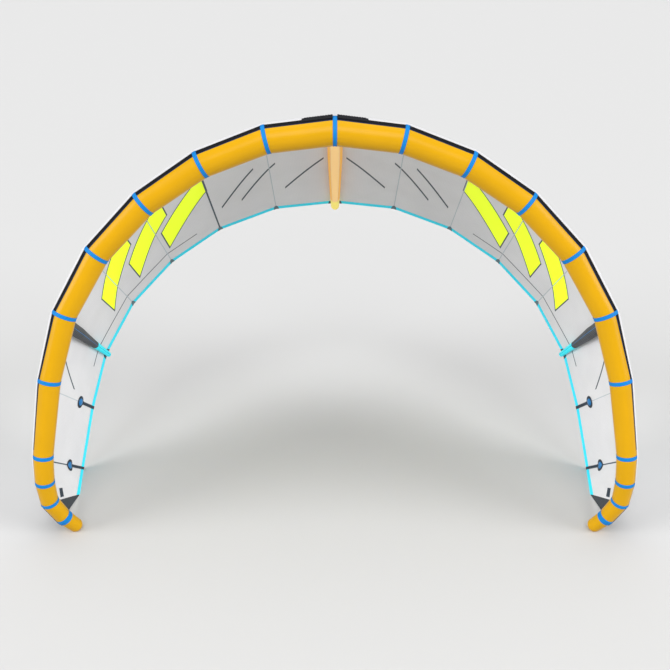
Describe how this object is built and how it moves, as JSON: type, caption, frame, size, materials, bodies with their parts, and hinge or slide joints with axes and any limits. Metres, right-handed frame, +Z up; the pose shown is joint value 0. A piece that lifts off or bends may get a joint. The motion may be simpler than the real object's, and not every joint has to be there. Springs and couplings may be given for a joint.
{
  "type": "kitesurfing kite",
  "caption": "Inflatable kitesurfing kite: a tapered tube bent into an arch, struts and a panelled canopy between them, standing on its wingtips with its nose up",
  "frame": {"origin": "on the ground, under the middle of the kite's box as it stands on its wingtips", "axes": "+Z up, +X towards the kite's right wingtip seen from the front, along its span, -Y the way the leading edge faces"},
  "size_m": [3.8338, 1.974, 2.664],
  "materials": {
    "tube_cloth": "tightly inflated, golden yellow laminated polyester, smooth with a soft sheen",
    "ring_tape": "azure woven tape, satin",
    "seam_strip": "black woven strip, matt",
    "nose_pad": "black ribbed rubber, matt",
    "canopy_cloth": "light grey ripstop, satin, with plain printed bars and lines",
    "edge_band_cloth": "cyan laminated cloth, satin",
    "middle_strut_cloth": "orange laminated cloth, soft sheen",
    "side_strut_cloth": "charcoal laminated cloth, matt",
    "strut_tail_cloth": "cyan laminated cloth, soft sheen",
    "batten_tape": "dark slate woven tape, matt",
    "tip_patch_cloth": "charcoal cloth with fine lines, matt",
    "webbing": "dark webbing, matt"
  },
  "bodies": {
    "root": {"leading_edge": "tube_cloth", "ring_middle": "ring_tape", "ring_left_1": "ring_tape", "ring_left_2": "ring_tape", "ring_left_3": "ring_tape", "ring_left_4": "ring_tape", "ring_left_5": "ring_tape", "ring_left_6": "ring_tape", "ring_left_7": "ring_tape", "ring_left_8": "ring_tape", "ring_left_9": "ring_tape", "ring_left_10": "ring_tape", "ring_right_1": "ring_tape", "ring_right_2": "ring_tape", "ring_right_3": "ring_tape", "ring_right_4": "ring_tape", "ring_right_5": "ring_tape", "ring_right_6": "ring_tape", "ring_right_7": "ring_tape", "ring_right_8": "ring_tape", "ring_right_9": "ring_tape", "ring_right_10": "ring_tape", "canopy_left_1": "canopy_cloth", "canopy_left_2": "canopy_cloth", "canopy_left_3": "canopy_cloth", "canopy_left_4": "canopy_cloth", "canopy_left_5": "canopy_cloth", "canopy_left_6": "canopy_cloth", "canopy_left_7": "canopy_cloth", "canopy_left_8": "canopy_cloth", "canopy_right_1": "canopy_cloth", "canopy_right_2": "canopy_cloth", "canopy_right_3": "canopy_cloth", "canopy_right_4": "canopy_cloth", "canopy_right_5": "canopy_cloth", "canopy_right_6": "canopy_cloth", "canopy_right_7": "canopy_cloth", "canopy_right_8": "canopy_cloth", "edge_band_left": "edge_band_cloth", "edge_strip_left": "seam_strip", "nose_pad_left": "nose_pad", "strut_left": "side_strut_cloth", "strut_tail_left": "strut_tail_cloth", "batten_left_1": "batten_tape", "batten_left_2": "batten_tape", "tip_patch_left": "tip_patch_cloth", "tip_tab_left": "webbing", "edge_band_right": "edge_band_cloth", "edge_strip_right": "seam_strip", "nose_pad_right": "nose_pad", "strut_right": "side_strut_cloth", "strut_tail_right": "strut_tail_cloth", "batten_right_1": "batten_tape", "batten_right_2": "batten_tape", "tip_patch_right": "tip_patch_cloth", "tip_tab_right": "webbing", "strut_middle": "middle_strut_cloth"}
  },
  "joints": []
}
